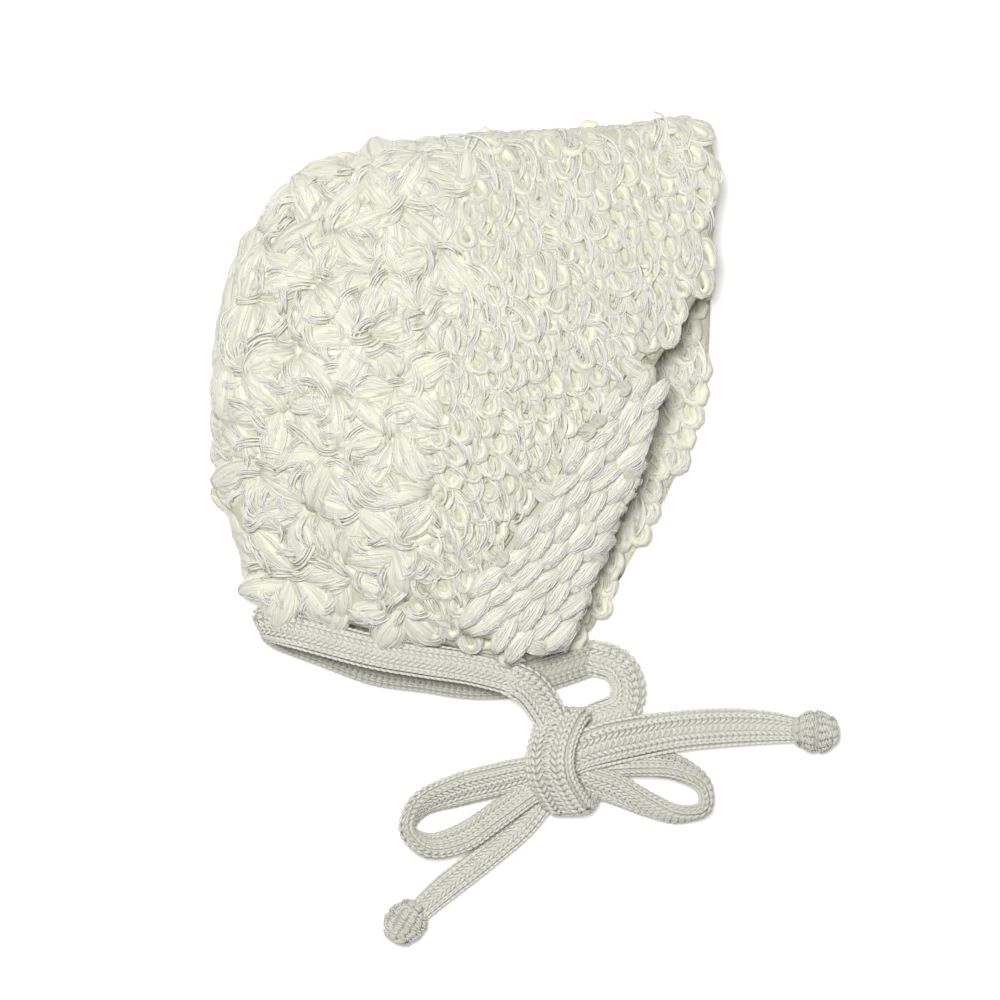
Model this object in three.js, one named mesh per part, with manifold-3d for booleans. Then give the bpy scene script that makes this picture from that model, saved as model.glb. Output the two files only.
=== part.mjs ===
// A newborn's crocheted bonnet with a knitted tie cord, lying on its left side, its ties fastened in a bow.
//
// Units are millimetres. +X points out of the face opening, +Y from the neck to the crown, and +Z away from
// the surface that the bonnet lies on, which is z = 0. The origin is the bottom centre of the bonnet's box,
// with its ties left out. "Upper" is the wearer's right side, and "lower" is the side that lies down.
import * as THREE from "three";
import { mergeVertices } from "three/addons/utils/BufferGeometryUtils.js";
import Module from "manifold-3d";

const wasm = await Module();
wasm.setup();

// ---- driving dimensions ----
const CLEARANCE = 0.3; // between pieces that touch
const WALL_GAP = 0.4; // between the crocheted wall and the band sewn round its neck edge
const WALL = 4; // crocheted wall
const BRIM_WALL = 3; // looser crochet of the turned brim
const ROUNDNESS = 4; // exponent of the upper wall's roll over the fold
const FLATNESS = 6; // the same for the side that lies flat
const SINK = 0.7; // how far the soft lower side is pressed flat
const CHIN_HEIGHT = 14.5; // of the upper wall at the chin
const DOME_START = 0.55; // share of the way to the fold where the upper wall is highest
const TIE = { width: 10.5, thickness: 3.6, sides: 10, step: 9, squareness: 0.7 }; // flat tubular cord
const ON_EDGE = { width: 4.8, height: 10 }; // the same cord where it stands on its edge
const BAND_WIDTH = 9; // of the cord where sewing pulls it narrower
const CORD_LIFT = 0.05; // of the cord's underside from the surface it lies on
const FINEST = 1e-3; // vertices closer than this are one
const REACH = 140; // longer than the bonnet, for cutting outlines

// How finely each shape is faceted.
const FACETS = {
  wallColumns: 30,
  changePoints: 18,
  brimColumns: 24,
  brimRows: 10,
  bandSteps: 40,
  knotSides: 16,
  knotRings: 10,
};

// The wall's middle along the fold, from the nape up the back and over the crown to the forehead. "fold" is
// the height of the fold's middle, and "dome" the upper wall's height halfway in from there.
const FOLD_LINE = [
  { x: -59, y: -58, fold: 9, dome: 19 },
  { x: -67, y: -35, fold: 10, dome: 27 },
  { x: -72.5, y: -7, fold: 11, dome: 34 },
  { x: -72, y: 16, fold: 12, dome: 38 },
  { x: -67, y: 39, fold: 12, dome: 40 },
  { x: -55, y: 59.5, fold: 12, dome: 41 },
  { x: -38.5, y: 71, fold: 12, dome: 41 },
  { x: -10, y: 77.5, fold: 12, dome: 40 },
  { x: 19, y: 79, fold: 12, dome: 37 },
  { x: 48, y: 81, fold: 12, dome: 33 },
  { x: 64, y: 83, fold: 12, dome: 30 },
  { x: 71, y: 81, fold: 12, dome: 28 },
];

// The neck edge of both walls, from beside the chin to the nape.
const NECK_EDGE = [
  { upperX: 14, upperY: -74, lowerX: 27, lowerY: -71.5 },
  { upperX: 2, upperY: -71.5, lowerX: 8, lowerY: -74 },
  { upperX: -12, upperY: -68, lowerX: -10, lowerY: -72.5 },
  { upperX: -27, upperY: -65.3, lowerX: -27, lowerY: -70 },
  { upperX: -43, upperY: -61.3, lowerX: -43, lowerY: -65 },
  { upperX: -59, upperY: -58, lowerX: -59, lowerY: -58 },
];

// The corner of both walls under the chin, from the neck edge to the face edge.
const CHIN_CORNER = [
  { upperX: 14, upperY: -74, lowerX: 27, lowerY: -71.5 },
  { upperX: 19, upperY: -71.5, lowerX: 34, lowerY: -69.5 },
  { upperX: 22.5, upperY: -67, lowerX: 38.5, lowerY: -65 },
];

// The face edge of both walls, from beside the chin to the forehead.
const FACE_EDGE = [
  { upperX: 22.5, upperY: -67, lowerX: 38.5, lowerY: -65 },
  { upperX: 26, upperY: -60, lowerX: 41.5, lowerY: -59.5 },
  { upperX: 29, upperY: -54, lowerX: 44, lowerY: -54 },
  { upperX: 34.5, upperY: -41, lowerX: 53, lowerY: -38.5 },
  { upperX: 40, upperY: -27, lowerX: 60.5, lowerY: -25 },
  { upperX: 46, upperY: -16, lowerX: 66, lowerY: -13 },
  { upperX: 50, upperY: 1, lowerX: 71, lowerY: 2 },
  { upperX: 60, upperY: 19, lowerX: 72.5, lowerY: 17 },
  { upperX: 71, upperY: 36, lowerX: 73, lowerY: 36 },
  { upperX: 73, upperY: 52, lowerX: 73, lowerY: 52 },
  { upperX: 74, upperY: 68, lowerX: 74, lowerY: 68 },
  { upperX: 71, upperY: 81, lowerX: 71, lowerY: 81 },
];

// Steps from the chin corner (0) to the fold (1), closer together where the wall rolls over.
const STEPS_TO_FOLD = [0, 0.09, 0.18, 0.27, 0.36, 0.45, 0.54, 0.63, 0.72, 0.8, 0.87, 0.93, 0.97, 0.99, 1];

// Where the puff stitch of the back ends and the open stitch of the face band begins.
const STITCH_CHANGE = [
  { x: 0, y: 120 },
  { x: 0, y: 81 },
  { x: 1.5, y: 52 },
  { x: -4, y: 22 },
  { x: -7, y: -7 },
  { x: -10, y: -36 },
  { x: -10, y: -120 },
];

// The brim that is turned back over the upper wall, from the chin up. "free" is its loose edge, and u and v
// say where on the wall's edge it turns: u along the chin corner, then v along the face edge.
const BRIM_LIFT = 3.1; // of its middle over the shell's top, which is faceted
const BRIM_ROLL = WALL / 2 + BRIM_LIFT; // radius of the rolled edge's middle
const ROLL_SLACK = 1.5; // from the wall's edge to the roll's own middle
const ROLL_ANGLE = 2.2; // radians from the flap to the roll's inner edge
const LYING_SHARE = 0.5; // of the rows, where the flap lies on the wall
const FLAP_SHARE = 0.7; // of the rows, up to where the roll begins
const BRIM = [
  { freeX: -2, freeY: -66, u: 0.55, v: 0 },
  { freeX: -1, freeY: -61, u: 1, v: 0 },
  { freeX: 2, freeY: -55, u: 1, v: 0.049 },
  { freeX: 6, freeY: -49.5, u: 1, v: 0.091 },
  { freeX: 13, freeY: -39, u: 1, v: 0.135 },
  { freeX: 19, freeY: -31, u: 1, v: 0.179 },
  { freeX: 26, freeY: -22, u: 1, v: 0.23 },
  { freeX: 31, freeY: -12, u: 1, v: 0.273 },
  { freeX: 36, freeY: -5, u: 1, v: 0.35 },
  { freeX: 42, freeY: 0, u: 1, v: 0.405 },
  { freeX: 46, freeY: 8, u: 1, v: 0.46 },
  { freeX: 53, freeY: 15, u: 1, v: 0.525 },
];

// The middle of the tie cord where it is sewn to the neck edge: along the upper side from the chin to the
// nape, round the fold and back along the lower side.
const NECK_BAND_ROUTE = [
  { x: 14, y: -79.6, z: 13.5 },
  { x: 2, y: -76.6, z: 15 },
  { x: -12, y: -74.4, z: 16 },
  { x: -26, y: -72, z: 16.5 },
  { x: -40, y: -68.4, z: 16 },
  { x: -52, y: -65.2, z: 14.5 },
  { x: -59, y: -64, z: 9 },
  { x: -53, y: -67, z: 3.4 },
  { x: -40, y: -72, z: 2 },
  { x: -26, y: -77, z: 1.9 },
  { x: -12, y: -79, z: 1.9 },
  { x: 2, y: -81, z: 1.9 },
  { x: 16, y: -80.4, z: 1.9 },
  { x: 29, y: -77, z: 1.9 },
  { x: 38.5, y: -73.5, z: 1.9 },
];

// The free stretches of the two ties, each from the band or the bow's knot outwards. A cord with "onEdge"
// stands on its edge, as a flat cord does where it turns sideways.
const CORDS = {
  near_tie: {
    onEdge: false,
    route: [
      { x: 14.8, y: -80, z: 13.4 },
      { x: 18.5, y: -82, z: 12.6 },
      { x: 23, y: -87, z: 11.2 },
      { x: 28, y: -97, z: 9.5 },
    ],
  },
  far_tie: {
    onEdge: false,
    route: [
      { x: 39.2, y: -73.3, z: 2 },
      { x: 44.7, y: -76, z: 2 },
      { x: 48, y: -81.8, z: 2 },
      { x: 46.8, y: -88.6, z: 2 },
      { x: 38, y: -92, z: 2.4 },
      { x: 30, y: -95, z: 4.5 },
    ],
  },
  right_tail: {
    onEdge: false,
    route: [
      { x: 30, y: -104, z: 10.5 },
      { x: 39, y: -99.5, z: 9.5 },
      { x: 50, y: -96, z: 7 },
      { x: 62, y: -95, z: 4 },
      { x: 78, y: -94, z: 2.4 },
      { x: 90, y: -94, z: 2.4 },
      { x: 99, y: -95, z: 3.6 },
    ],
  },
  left_tail: {
    onEdge: false,
    route: [
      { x: 25, y: -112, z: 4 },
      { x: 17, y: -123, z: 2.2 },
      { x: 5, y: -133.5, z: 2.2 },
      { x: -6, y: -142, z: 2.2 },
      { x: -14, y: -149, z: 3.4 },
    ],
  },
  right_loop: {
    onEdge: true,
    route: [
      { x: 33, y: -107, z: 6 },
      { x: 44, y: -112, z: 5.6 },
      { x: 54, y: -117, z: 5.4 },
      { x: 63, y: -120, z: 5.4 },
      { x: 70.5, y: -117.5, z: 5.4 },
      { x: 70, y: -111, z: 5.4 },
      { x: 62, y: -105.8, z: 5.4 },
      { x: 52, y: -104.6, z: 5.4 },
      { x: 33, y: -104.6, z: 4.6 },
    ],
  },
  left_loop: {
    onEdge: true,
    route: [
      { x: 24, y: -105.5, z: 6 },
      { x: 12, y: -109, z: 5.6 },
      { x: -2, y: -112.6, z: 5.4 },
      { x: -13.5, y: -117.5, z: 5.4 },
      { x: -17, y: -124.5, z: 5.4 },
      { x: -11, y: -128.5, z: 5.4 },
      { x: -1, y: -126.5, z: 5.4 },
      { x: 9.5, y: -119.5, z: 5.4 },
      { x: 24, y: -109, z: 5.6 },
    ],
  },
};

// Knots as rounded lumps: middle, half sizes and the turn of the long axis in the plane.
const KNOTS = {
  bow_knot: { x: 28, y: -104, z: 7.6, along: 15, across: 11.5, tall: 7.6, turn: 115 },
  right_end_knot: { x: 103, y: -95.5, z: 5, along: 7, across: 5.8, tall: 5, turn: -8 },
  left_end_knot: { x: -17.5, y: -151.5, z: 4.9, along: 7, across: 5.6, tall: 4.9, turn: 48 },
};

// ---- finishes ----
const wool = { color: 0xe6e4d4, roughness: 0.95, metalness: 0 };
const cordYarn = { color: 0xd0cec0, roughness: 0.7, metalness: 0 };

// ---- helpers ----

/** A smooth curve through the rows of a table, taking the named columns as x, y and z. */
function curveThrough(rows, xName = "x", yName = "y", zName = "z") {
  const points = rows.map((row) => new THREE.Vector3(row[xName], row[yName], row[zName] ?? 0));
  return new THREE.CatmullRomCurve3(points, false, "centripetal");
}

/** Moves every vertex of a geometry to the place that a function gives, and keeps their order. */
function moved(geometry, place) {
  const position = geometry.getAttribute("position");
  const vertex = new THREE.Vector3();
  for (let i = 0; i < position.count; i += 1) {
    vertex.copy(place(vertex.fromBufferAttribute(position, i)));
    position.setXYZ(i, vertex.x, vertex.y, vertex.z);
  }
  return geometry;
}

/** The same for a closed geometry, whose shared vertices are then joined. */
function bend(geometry, place) {
  geometry.deleteAttribute("uv");
  geometry.deleteAttribute("normal");
  return mergeVertices(moved(geometry, place), FINEST);
}

/**
 * A wall of even thickness around the surface middle(u, v), with u and v from 0 to 1. A margin makes it
 * bigger all round, edges included.
 */
function wall(columns, rows, thickness, middle, margin = 0) {
  const sheet = moved(new THREE.PlaneGeometry(1, 1, columns, rows), (p) => middle(p.x + 0.5, p.y + 0.5));
  sheet.computeVertexNormals();
  const centre = (column, row) => vectorAt(sheet.getAttribute("position"), row * (columns + 1) + column);
  const normal = (column, row) => vectorAt(sheet.getAttribute("normal"), row * (columns + 1) + column);
  const outwards = (place, next) => place.clone().sub(next).setLength(margin);
  return bend(new THREE.BoxGeometry(1, 1, 1, columns, rows, 1), (p) => {
    const column = Math.round((p.x + 0.5) * columns);
    const row = Math.round((0.5 - p.y) * rows);
    const place = centre(column, row);
    const point = place.clone().addScaledVector(normal(column, row), p.z * (thickness + 2 * margin));
    if (column === 0) point.add(outwards(place, centre(1, row)));
    if (column === columns) point.add(outwards(place, centre(columns - 1, row)));
    if (row === 0) point.add(outwards(place, centre(column, 1)));
    if (row === rows) point.add(outwards(place, centre(column, rows - 1)));
    point.z = Math.max(point.z, 0);
    return point;
  });
}

function vectorAt(attribute, index) {
  return new THREE.Vector3().fromBufferAttribute(attribute, index);
}

function toManifold(geometry) {
  const vertProperties = new Float32Array(geometry.getAttribute("position").array);
  const triVerts = new Uint32Array(geometry.getIndex().array);
  return new wasm.Manifold(new wasm.Mesh({ numProp: 3, vertProperties, triVerts }));
}

function toGeometry(manifold) {
  const mesh = manifold.getMesh();
  const geometry = new THREE.BufferGeometry();
  geometry.setAttribute("position", new THREE.BufferAttribute(new Float32Array(mesh.vertProperties), 3));
  geometry.setIndex(new THREE.BufferAttribute(new Uint32Array(mesh.triVerts), 1));
  return geometry;
}

function named(name, geometry, finish) {
  const mesh = new THREE.Mesh(geometry, new THREE.MeshStandardMaterial(finish));
  mesh.name = name;
  return mesh;
}

// ---- the crocheted shell: one folded wall, open at the face and the neck ----

/** A patch with four curved sides: the neck edge, the face edge, the chin corner and the fold. */
function patch(neck, face, corner, fold, u, v) {
  const point = new THREE.Vector3();
  const add = (p, weight) => point.addScaledVector(p, weight);
  add(neck.getPointAt(v), 1 - u);
  add(face.getPointAt(v), u);
  add(corner.getPointAt(u), 1 - v);
  add(fold.getPointAt(u), v);
  add(neck.getPointAt(0), -(1 - u) * (1 - v));
  add(neck.getPointAt(1), -(1 - u) * v);
  add(face.getPointAt(0), -u * (1 - v));
  add(face.getPointAt(1), -u * v);
  return point;
}

const foldLine = curveThrough(FOLD_LINE);
const foldHeights = curveThrough(FOLD_LINE, "x", "y", "fold");
const domeHeights = curveThrough(FOLD_LINE, "x", "y", "dome");
const sides = {
  upper: {
    neck: curveThrough(NECK_EDGE, "upperX", "upperY"),
    face: curveThrough(FACE_EDGE, "upperX", "upperY"),
    corner: curveThrough(CHIN_CORNER, "upperX", "upperY"),
  },
  lower: {
    neck: curveThrough(NECK_EDGE, "lowerX", "lowerY"),
    face: curveThrough(FACE_EDGE, "lowerX", "lowerY"),
    corner: curveThrough(CHIN_CORNER, "lowerX", "lowerY"),
  },
};

/** The middle of the upper or the lower wall. u runs from the neck edge to the face edge, v from the chin. */
function wallMiddle(isUpper, u, v) {
  const { neck, face, corner } = isUpper ? sides.upper : sides.lower;
  const point = patch(neck, face, corner, foldLine, u, v);
  const fold = foldHeights.getPointAt(u).z;
  if (isUpper) {
    const climb = Math.sin((Math.min(v / DOME_START, 1) * Math.PI) / 2);
    const rise = THREE.MathUtils.lerp(CHIN_HEIGHT, domeHeights.getPointAt(u).z, climb) - fold;
    point.z = fold + rise * (1 - v ** ROUNDNESS) ** (1 / ROUNDNESS);
  } else {
    const drop = fold - WALL / 2 + SINK;
    point.z = fold - drop * (1 - v ** FLATNESS) ** (1 / FLATNESS);
  }
  return point;
}

const stepCount = STEPS_TO_FOLD.length - 1;

/** The middle of both walls: h runs from the lower one's chin corner over the fold to the upper one's. */
function shellMiddle(u, h) {
  const step = Math.round(Math.abs(h - 0.5) * 2 * stepCount);
  return wallMiddle(h >= 0.5, u, STEPS_TO_FOLD[stepCount - step]);
}

/** The whole folded wall as one solid, or a little bigger all round by a margin. */
function shellSolid(margin = 0) {
  return toManifold(wall(FACETS.wallColumns, 2 * stepCount, WALL, shellMiddle, margin));
}

function largestBody(solid) {
  return solid.decompose().sort((a, b) => b.volume() - a.volume())[0];
}

/** What is left of a geometry outside other solids, with its finest slivers merged away. */
function clearOf(geometry, ...others) {
  const rest = others.reduce((solid, other) => solid.subtract(other), toManifold(geometry));
  const merged = mergeVertices(toGeometry(largestBody(rest)), FINEST);
  return toGeometry(largestBody(toManifold(merged)));
}

/** Everything on the back's side of the stitch change, moved along X by a shift. */
function backSide(shift) {
  const change = curveThrough(STITCH_CHANGE).getPoints(FACETS.changePoints);
  const outline = new THREE.Shape([
    new THREE.Vector2(-REACH, REACH),
    ...change.map((p) => new THREE.Vector2(p.x + shift, p.y)),
    new THREE.Vector2(-REACH, -REACH),
  ]);
  const block = new THREE.ExtrudeGeometry(outline, { depth: REACH, bevelEnabled: false });
  return toManifold(bend(block, (p) => p.setZ(p.z - REACH / 2)));
}

const shell = shellSolid();
const crownBack = toGeometry(shell.intersect(backSide(0)));
const faceBand = toGeometry(shell.subtract(backSide(CLEARANCE)));

// ---- the turned brim: a flap on the upper wall with a rolled edge ----

const shellMesh = new THREE.Mesh(toGeometry(shell), new THREE.MeshBasicMaterial({ side: THREE.DoubleSide }));
const caster = new THREE.Raycaster();
const DOWN = new THREE.Vector3(0, 0, -1);

/** The height of the upper wall's top under a point. */
function shellTop(x, y) {
  caster.set(new THREE.Vector3(x, y, REACH), DOWN);
  return caster.intersectObject(shellMesh)[0].point.z;
}

const freeEdge = curveThrough(BRIM, "freeX", "freeY");
const turnEdge = new THREE.CatmullRomCurve3(BRIM.map(({ u, v }) => wallMiddle(true, u, v)));

/** The brim's middle: u runs along it from the chin up, and across from its loose edge round the roll. */
function brimMiddle(u, across) {
  const turn = turnEdge.getPoint(u);
  const free = freeEdge.getPoint(u);
  const out = new THREE.Vector3().subVectors(turn, free).setZ(0).normalize();
  const flap = (share) => free.clone().lerp(turn, Math.min(share, LYING_SHARE) / FLAP_SHARE);
  if (across >= FLAP_SHARE) {
    const angle = ((across - FLAP_SHARE) / (1 - FLAP_SHARE)) * ROLL_ANGLE;
    const point = turn.clone().addScaledVector(out, ROLL_SLACK + BRIM_ROLL * Math.sin(angle));
    return point.setZ(turn.z + BRIM_ROLL * Math.cos(angle));
  }
  const point = flap(across);
  point.z = shellTop(point.x, point.y) + BRIM_LIFT;
  if (across <= LYING_SHARE) return point;
  const start = turn.clone().addScaledVector(out, ROLL_SLACK).setZ(turn.z + BRIM_ROLL);
  return point.lerp(start, (across - LYING_SHARE) / (FLAP_SHARE - LYING_SHARE));
}

const turnedBrim = wall(FACETS.brimColumns, FACETS.brimRows, BRIM_WALL, brimMiddle);

// ---- the flat cord, as a neck band, as free ties and in the bow ----

/** The cord's rounded flat section, across first. */
function cordSection(width, thickness, sideCount) {
  const points = [];
  for (let i = 0; i < sideCount; i += 1) {
    const angle = ((i + 0.5) / sideCount) * Math.PI * 2;
    const c = Math.cos(angle);
    const s = Math.sin(angle);
    const x = Math.sign(c) * Math.abs(c) ** TIE.squareness;
    const y = Math.sign(s) * Math.abs(s) ** TIE.squareness;
    points.push(new THREE.Vector2((x * width) / 2, (y * thickness) / 2));
  }
  return new THREE.Shape(points);
}

/** How far a bar's end section moves outwards along the bar when the bar grows by a margin. */
function endShift(share, margin) {
  if (share > 0 && share < 1) return 0;
  return share === 0 ? -margin : margin;
}

/** The neck band keeps its width along Y and turns its flat side outwards all the way round. */
function neckBandGeometry(margin = 0) {
  const route = curveThrough(NECK_BAND_ROUTE);
  const section = cordSection(BAND_WIDTH + 2 * margin, TIE.thickness + 2 * margin, TIE.sides);
  const bar = new THREE.ExtrudeGeometry(section, { depth: 1, steps: FACETS.bandSteps, bevelEnabled: false });
  return bend(bar, (p) => {
    const along = route.getTangentAt(p.z);
    const outward = new THREE.Vector3(-along.z, 0, along.x).normalize().negate();
    const across = new THREE.Vector3().crossVectors(outward, along).normalize();
    const point = route.getPointAt(p.z).addScaledVector(across, p.x).addScaledVector(outward, p.y);
    return point.addScaledVector(along, endShift(p.z, margin));
  });
}

/** A free stretch of the cord. Its sections stay upright, flat or on edge, and it never dips below z = 0. */
function cordGeometry({ onEdge, route }, margin = 0) {
  const curve = curveThrough(route);
  const width = onEdge ? ON_EDGE.width : TIE.width;
  const height = onEdge ? ON_EDGE.height : TIE.thickness;
  const steps = Math.ceil(curve.getLength() / TIE.step);
  const section = cordSection(width + 2 * margin, height + 2 * margin, TIE.sides);
  const bar = new THREE.ExtrudeGeometry(section, { depth: 1, steps, bevelEnabled: false });
  return bend(bar, (p) => {
    const along = curve.getTangentAt(p.z);
    const side = new THREE.Vector3(-along.y, along.x, 0).normalize();
    const up = new THREE.Vector3().crossVectors(along, side).normalize();
    const point = curve.getPointAt(p.z).addScaledVector(side, p.x).addScaledVector(up, p.y);
    point.z = Math.max(point.z, CORD_LIFT);
    return point;
  });
}

/** A knot's lump, grown by a margin so that the same form can cut its neighbours. */
function knotGeometry(knot, margin = 0) {
  const turn = THREE.MathUtils.degToRad(knot.turn);
  return bend(new THREE.SphereGeometry(1, FACETS.knotSides, FACETS.knotRings), (p) => {
    const point = new THREE.Vector3(
      p.x * (knot.along + margin),
      -p.z * (knot.across + margin),
      p.y * (knot.tall + margin),
    );
    point.applyAxisAngle(new THREE.Vector3(0, 0, 1), turn);
    return point.add(new THREE.Vector3(knot.x, knot.y, knot.z));
  });
}

const knotsWithGap = Object.values(KNOTS).map((knot) => toManifold(knotGeometry(knot, CLEARANCE)));
const bandWithGap = toManifold(neckBandGeometry(CLEARANCE));

/** Every cord, each cut clear of the knots, the neck band and the cords before it. */
function cordGeometries() {
  const done = {};
  const inTheWay = [...knotsWithGap, bandWithGap];
  for (const [name, cord] of Object.entries(CORDS)) {
    done[name] = clearOf(cordGeometry(cord), ...inTheWay);
    inTheWay.push(toManifold(cordGeometry(cord, CLEARANCE)));
  }
  return done;
}

// ---- the bonnet ----
const bonnet = new THREE.Group();
bonnet.name = "baby_bonnet";
bonnet.add(named("crown_back", crownBack, wool));
bonnet.add(named("face_band", faceBand, wool));
bonnet.add(named("turned_brim", turnedBrim, wool));
bonnet.add(named("neck_band", clearOf(neckBandGeometry(), shellSolid(WALL_GAP)), cordYarn));
for (const [name, cord] of Object.entries(cordGeometries())) bonnet.add(named(name, cord, cordYarn));
for (const [name, knot] of Object.entries(KNOTS)) bonnet.add(named(name, knotGeometry(knot), cordYarn));

export default bonnet;
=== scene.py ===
import math

import bpy
import numpy as np
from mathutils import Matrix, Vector
from mathutils.bvhtree import BVHTree


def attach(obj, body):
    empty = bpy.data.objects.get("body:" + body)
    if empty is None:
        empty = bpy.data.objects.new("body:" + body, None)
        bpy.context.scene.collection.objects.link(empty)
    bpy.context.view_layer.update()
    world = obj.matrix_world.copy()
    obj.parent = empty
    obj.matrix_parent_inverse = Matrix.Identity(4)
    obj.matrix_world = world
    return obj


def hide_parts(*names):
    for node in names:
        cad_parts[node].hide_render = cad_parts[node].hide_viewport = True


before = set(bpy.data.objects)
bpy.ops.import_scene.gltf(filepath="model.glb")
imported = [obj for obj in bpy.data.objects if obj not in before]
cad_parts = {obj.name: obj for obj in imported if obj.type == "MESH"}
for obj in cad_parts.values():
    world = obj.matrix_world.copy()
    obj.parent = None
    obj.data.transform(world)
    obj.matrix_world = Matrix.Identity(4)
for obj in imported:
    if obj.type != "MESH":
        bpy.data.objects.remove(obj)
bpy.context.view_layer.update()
MM = 0.001

# ---- The table it lies on ----
# A plain white table under one large soft light, seen from straight above.
# The table glows a little, as a backlit one does, so that the bonnet throws hardly any shadow.
TABLE_TOP = -0.0012
TABLE_HALF = 3
VIEW_CENTRE = (0.0103, -0.0275)
VIEW_WIDTH = 0.293
CAMERA_HEIGHT = 2.4
SENSOR = 36
MEAN_HEIGHT = 0.012
LAMP_PLACE = Vector((-0.2, 0.3, 3.0))


class Fibre:
    """A socket of a node tree. Sums and products of fibres add the tree's Math nodes."""

    def __init__(self, tree, socket=None):
        self.tree = tree
        self.socket = socket

    def node(self, kind, settings=None, sockets=None, output=0):
        """Adds a node, sets it up and fills its sockets with numbers or other fibres."""
        made = self.tree.nodes.new(kind)
        for name, value in (settings or {}).items():
            setattr(made, name, value)
        for name, value in (sockets or {}).items():
            if isinstance(value, Fibre):
                self.tree.links.new(value.socket, made.inputs[name])
            else:
                made.inputs[name].default_value = value
        return Fibre(self.tree, made.outputs[output]) if made.outputs else made

    def maths(self, operation, left, right):
        return self.node("ShaderNodeMath", {"operation": operation}, {0: left, 1: right})

    def __add__(self, other):
        return self.maths("ADD", self, other)

    def __mul__(self, other):
        return self.maths("MULTIPLY", self, other)

    def __rsub__(self, other):
        return self.maths("SUBTRACT", other, self)

    def __sub__(self, other):
        return self.maths("SUBTRACT", self, other)

    __radd__ = __add__
    __rmul__ = __mul__


def new_finish(name):
    """An empty material and a fibre to build its nodes with."""
    finish = bpy.data.materials.new(name)
    finish.use_nodes = True
    finish.node_tree.nodes.clear()
    return finish, Fibre(finish.node_tree)


white, paint = new_finish("white_table")
coords = paint.node("ShaderNodeTexCoord", output="Object")
cloud = paint.node(
    "ShaderNodeTexNoise", sockets={"Vector": coords, "Scale": 3.0, "Detail": 2.0}, output="Fac"
)
roughness = 0.7 + 0.1 * cloud
table_shader = paint.node(
    "ShaderNodeBsdfPrincipled",
    sockets={
        "Base Color": (0.93, 0.93, 0.93, 1),
        "Roughness": roughness,
        "Emission Color": (1, 1, 1, 1),
        "Emission Strength": 0.22,
        "Specular IOR Level": 0.2,
    },
)
paint.node("ShaderNodeOutputMaterial", sockets={"Surface": table_shader})

table_mesh = bpy.data.meshes.new("table")
corners = [
    (x * TABLE_HALF, y * TABLE_HALF, TABLE_TOP) for x, y in ((-1, -1), (1, -1), (1, 1), (-1, 1))
]
table_mesh.from_pydata(corners, [], [(0, 1, 2, 3)])
table_mesh.materials.append(white)
table = bpy.data.objects.new("table", table_mesh)
bpy.context.collection.objects.link(table)

lamp_data = bpy.data.lights.new("soft_light", "AREA")
lamp_data.shape = "DISK"
lamp_data.size = 0.8
lamp_data.energy = 101
lamp = bpy.data.objects.new("soft_light", lamp_data)
lamp.location = LAMP_PLACE
lamp.rotation_euler = (-LAMP_PLACE).to_track_quat("-Z", "Y").to_euler()
bpy.context.collection.objects.link(lamp)

room = bpy.data.worlds.new("room")
room.use_nodes = True
daylight = room.node_tree.nodes["Background"].inputs
daylight["Color"].default_value = (1, 1, 1, 1)
daylight["Strength"].default_value = 0.08
bpy.context.scene.world = room
bpy.context.scene.view_settings.view_transform = "Standard"

camera_data = bpy.data.cameras.new("camera")
camera_data.sensor_width = SENSOR
camera_data.lens = SENSOR * (CAMERA_HEIGHT - MEAN_HEIGHT) / VIEW_WIDTH
camera = bpy.data.objects.new("camera", camera_data)
camera.location = (*VIEW_CENTRE, CAMERA_HEIGHT)
bpy.context.collection.objects.link(camera)
bpy.context.scene.camera = camera

# ---- The back of the bonnet: its ground fabric ----
# A soft crocheted wall of thick loose wool, about four millimetres through. The stitches on its face hide
# nearly all of it, and it shows only in the gaps between them, coloured darker and warmer as painted shade.
GROUND_INSET = 1.1 * MM
JOIN_REACH = 1 * MM
JOIN_LAP = 1.5
FINEST = 1e-5


def ground_finish(name, light, dark):
    """Matted wool seen deep between stitches: dull and fibrous, and painted darker and warmer than the stitch
    yarn as painted shade.
    """
    finish, wool = new_finish(name)
    coords = wool.node("ShaderNodeTexCoord", output="Object")
    patches = wool.node(
        "ShaderNodeTexNoise", sockets={"Vector": coords, "Scale": 90.0, "Detail": 3.0}, output="Fac"
    )
    hairs = wool.node(
        "ShaderNodeTexNoise",
        sockets={"Vector": coords, "Scale": 900.0, "Detail": 4.0, "Roughness": 0.7, "Distortion": 1.5},
        output="Fac",
    )
    colour = wool.node(
        "ShaderNodeMix",
        {"data_type": "RGBA"},
        {"Factor": 0.6 * patches + 0.4 * hairs, 6: (*dark, 1), 7: (*light, 1)},
        output=2,
    )
    bump = wool.node(
        "ShaderNodeBump", sockets={"Height": hairs + patches, "Strength": 0.8, "Distance": 0.8 * MM}
    )
    shader = wool.node(
        "ShaderNodeBsdfPrincipled",
        sockets={
            "Base Color": colour,
            "Roughness": 0.85 + 0.1 * hairs,
            "Normal": bump,
            "Sheen Weight": 0.3,
            "Sheen Roughness": 0.6,
            "Specular IOR Level": 0.1,
        },
    )
    wool.node("ShaderNodeOutputMaterial", sockets={"Surface": shader})
    return finish


def surface_of(*nodes):
    """The outside of one or more CAD nodes, to find where a stitch sits."""
    places, faces = [], []
    for node in nodes:
        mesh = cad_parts[node].data
        first = len(places)
        places.extend(vertex.co.copy() for vertex in mesh.vertices)
        faces.extend(tuple(first + i for i in polygon.vertices) for polygon in mesh.polygons)
    return BVHTree.FromPolygons(places, faces)


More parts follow.
